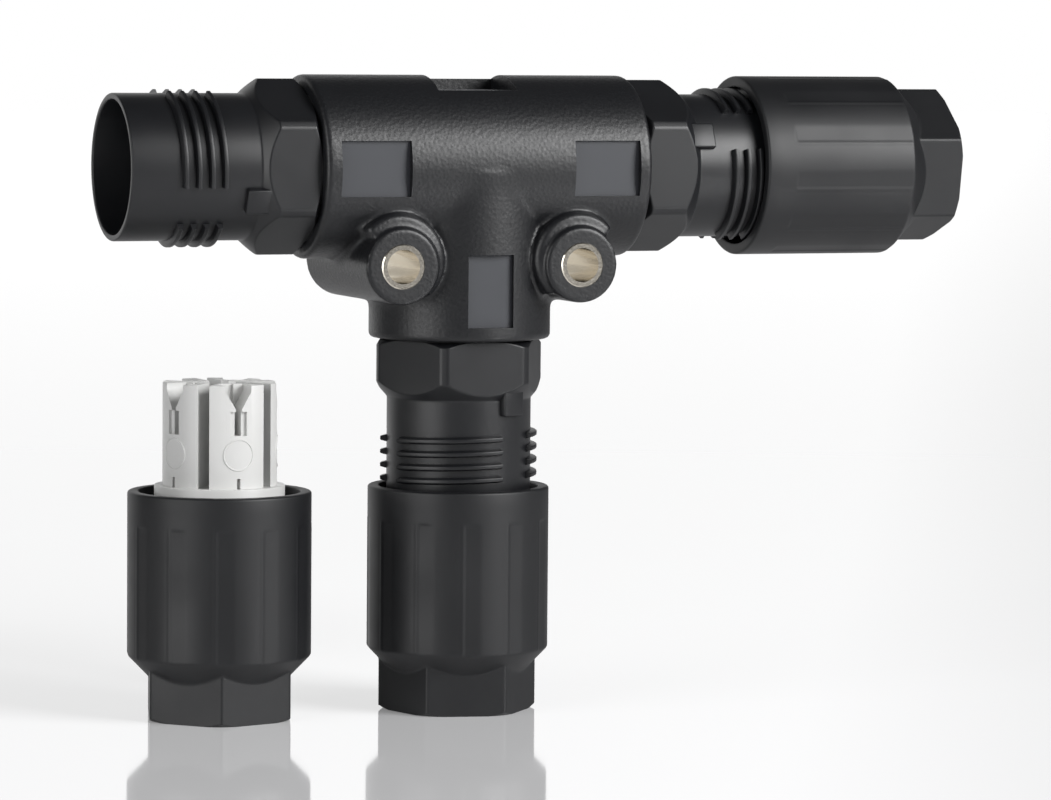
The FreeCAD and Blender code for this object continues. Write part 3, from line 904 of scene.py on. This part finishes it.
def nutShell():
    size = nutSet
    columns = size["columns"]
    length, start = size["length"], size["facetStart"]
    angles = np.arange(columns) * 2 * math.pi / columns
    step = 2 * math.pi / size["facetCount"]
    facet = size["facetFlat"] / np.cos((angles - step / 2) % step - step / 2)
    facet = -softMax(-facet, np.full(columns, -size["radius"]), size["facetBlend"])
    away = np.abs((angles - math.radians(size["lineAngle"]) + step / 2) % step - step / 2) * size["radius"]
    lines = size["lineHeight"] * np.exp(-(away / size["lineWidth"]) ** 4)
    hexagon = polygonRadius(angles, 6, size["hexFlat"], sharpness=size["hexSharpness"])
    hexCorner = size["hexFlat"] / math.cos(math.pi / 6)
    slope = math.tan(math.radians(90 - size["coneAngle"]))
    mouth, inner = size["mouthRound"], size["boreRound"]
    rings = roundedCorner(size["bore"] + inner, inner, inner, 180, 270, 4)
    rings += roundedCorner(size["radius"] - mouth, mouth, mouth, -90, 0, 6)
    # the rings lie close where facets, cone and end bevel begin
    heights = np.concatenate([
        [3.0, 5.6], np.linspace(start - 0.4, start + 0.4, 6), [10.0, 20.0, 29.5, 30.4],
        np.linspace(30.6, 36.8, 38), np.linspace(37.4, length - 1.0, 3),
        np.linspace(length - 0.9, length, 10)])
    for height in heights:
        share = np.clip((height - start) / size["facetRunIn"] + 0.5, 0.0, 1.0)
        skirt = size["radius"] * (1 - share) + facet * share + lines * share
        cone = size["radius"] - (height - size["skirtEnd"]) / slope
        outer = -softMax(-skirt, np.full(columns, -cone), size["coneBlend"])
        if height > size["skirtEnd"] - 1.0:
            bevel = hexCorner + (length - size["endBevel"] - height) * size["endBevelSlope"]
            hexPart = -softMax(-hexagon, np.full(columns, -bevel), size["endBevelBlend"])
            outer = softMax(outer, hexPart, size["hexBlend"])
        rings.append((outer, height))
    cable, edge = size["cableBore"], size["cableBevel"]
    rings += [(cable + edge, length), (cable, length - edge), (cable, size["entryStart"]),
              (size["tipBore"], size["entryStart"]), (size["cageBore"], size["tipStart"]),
              (size["cageBore"], size["cageDepth"]), (size["bore"], size["cageDepth"])]
    return makeMesh("nut", *ringShell(rings, columns))


def makeNuts():
    sizes = {**nutThreadSet, "material": materials["nut"]}
    ridges = runTree("nutRidges", ridgeTree("nutRidges", sizes), sizes)
    parts = [nutShell(), ridges]
    places = []
    for name, (body, tilt, mouth, angle) in nutPlaces.items():
        places.append((name, body, portMatrix(tilt, mouth, angle)))
    places.append(("loose", "tee", loosePlace(looseSet["nutAngle"])))
    for name, body, matrix in places:
        mesh = joinMeshes("nut" + name.capitalize(), parts)
        mesh.transform(matrix)
        mesh.materials.append(materials["nut"])
        piece = addObject("nut" + name.capitalize(), mesh)
        setMesh(piece, mesh, 40.0)
        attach(piece, body)
        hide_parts("union_nut_" + name)
    print("nuts done,", len(mesh.polygons), "faces each")


# Loose wire guide: five posts that hold the cores, each with a lip, a window and a raised ring

guideSet = {
    "postRadius": 11.05,
    "holeRadius": 3.2,
    "rise": 21.0,
    "flange": 1.2,
    "flangeRadius": 12.6,
    "skirtWall": 2.6,
    "skirtLength": 24.0,
    "count": 5,
    "firstAngle": 90.0,
    "gap": 2.4,
    "gapInner": 2.5,
    "slot": 1.3,
    "slotInner": 5.3,
    "slotDepth": 9.6,
    "lipWidth": 5.2,
    "lipInner": 6.0,
    "lipStraight": 1.2,
    "lipDepth": 4.9,
    "lipFoot": 0.8,
    "windowWidth": 3.3,
    "windowStart": 5.0,
    "windowEnd": 9.6,
    "windowDepth": 0.7,
    "ringRadius": 2.95,
    "ringDrop": 13.3,
    "ringThickness": 0.16,
    "slitWidth": 0.7,
    "slitHeight": 2.0,
    "slitDepth": 1.5,
    "edge": 0.2,
    "past": 2.0,  # how far a cutter reaches past the surface
}


def raisedRing(angle):
    # a thin ring that lies on a post's round outside
    size = guideSet
    section = roundedCorner(size["ringRadius"], 0.0, size["ringThickness"], 0, 300, 6)
    vertices, faces = ringShell(section, 64)
    rise = size["ringDrop"] - size["rise"]
    bent = []
    for across, up, out in vertices:
        spread = across / size["postRadius"]
        radius = size["postRadius"] + out
        bent.append((radius * math.cos(spread), radius * math.sin(spread), up + rise))
    return makeMesh("raisedRing", bent, faces, Matrix.Rotation(math.radians(angle), 4, "Z"))


def guideShell():
    size = guideSet
    edge, post, flange, hole = size["edge"], size["postRadius"], size["flangeRadius"], size["holeRadius"]
    inside = flange - size["skirtWall"]
    rings = [(hole, -size["rise"])]
    rings += roundedCorner(post - edge, edge - size["rise"], edge, -90, 0, 4)
    rings.append((post, -size["flange"]))
    rings += roundedCorner(flange - edge, edge - size["flange"], edge, -90, 0, 4)
    rings += [(flange, size["skirtLength"]), (inside, size["skirtLength"]), (inside, 0.0), (hole, 0.0)]
    return makeMesh("guideLoose", *ringShell(rings, 200))


def lipCutter(matrix):
    # a funnel over the slot, as a six-sided block
    size = guideSet
    tip = -size["rise"]
    half, foot = size["lipWidth"] / 2, size["lipFoot"] / 2
    top, straight, bottom = tip - size["past"], tip + size["lipStraight"], tip + size["lipDepth"]
    outline = [
        (-half, top), (half, top), (half, straight), (foot, bottom), (-foot, bottom), (-half, straight)]
    past = size["flangeRadius"] + size["past"]
    corners = [(x, y, z) for x in (size["lipInner"], past) for y, z in outline]
    sides = [(a, (a + 1) % 6, 6 + (a + 1) % 6, 6 + a) for a in range(6)]
    return makeMesh("lip", corners, sides + [(5, 4, 3, 2, 1, 0), (6, 7, 8, 9, 10, 11)], matrix)


def guideCutters():
    size = guideSet
    tip = -size["rise"]
    top = tip - size["past"]
    past = size["flangeRadius"] + size["past"]
    post, foot = size["postRadius"], -size["flange"]
    # name, inner radius, width, from and to along the guide, share of the turn from post to post
    blocks = [
        ("gap", size["gapInner"], size["gap"], top, foot, 0.5),
        ("slot", size["slotInner"], size["slot"], top, tip + size["slotDepth"], 0.0),
        ("window", post - size["windowDepth"], size["windowWidth"],
         tip + size["windowStart"], tip + size["windowEnd"], 0.0),
        ("slit", post - size["slitDepth"], size["slitWidth"], foot - size["slitHeight"], foot, 0.0)]
    turn = 360.0 / size["count"]
    cutters = []
    for name, inner, width, low, high, share in blocks:
        meshes = []
        for number in range(size["count"]):
            angle = size["firstAngle"] + (number + share) * turn
            meshes.append(blockMesh(
                name, (inner, -width / 2, low), (past, width / 2, high),
                Matrix.Rotation(math.radians(angle), 4, "Z")))
        cutters.append(joinMeshes(name, meshes))
    lips = []
    for number in range(size["count"]):
        lips.append(lipCutter(Matrix.Rotation(math.radians(size["firstAngle"] + number * turn), 4, "Z")))
    return cutters + [joinMeshes("lip", lips)]


def makeGuide():
    size = guideSet
    piece = addObject("guideLoose", guideShell())
    turn = 360.0 / size["count"]
    rims = [raisedRing(size["firstAngle"] + number * turn) for number in range(size["count"])]
    mesh = joinMeshes("guideLoose", [cutAway(piece, guideCutters())] + rims)
    mesh.transform(loosePlace(looseSet["guideAngle"]))
    mesh.materials.clear()
    mesh.materials.append(materials["guide"])
    setMesh(piece, mesh, 35.0)
    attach(piece, "loose_guide")
    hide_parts("wire_guide_loose")
    print("loose guide done,", len(mesh.polygons), "faces")


makeNuts()
makeGuide()
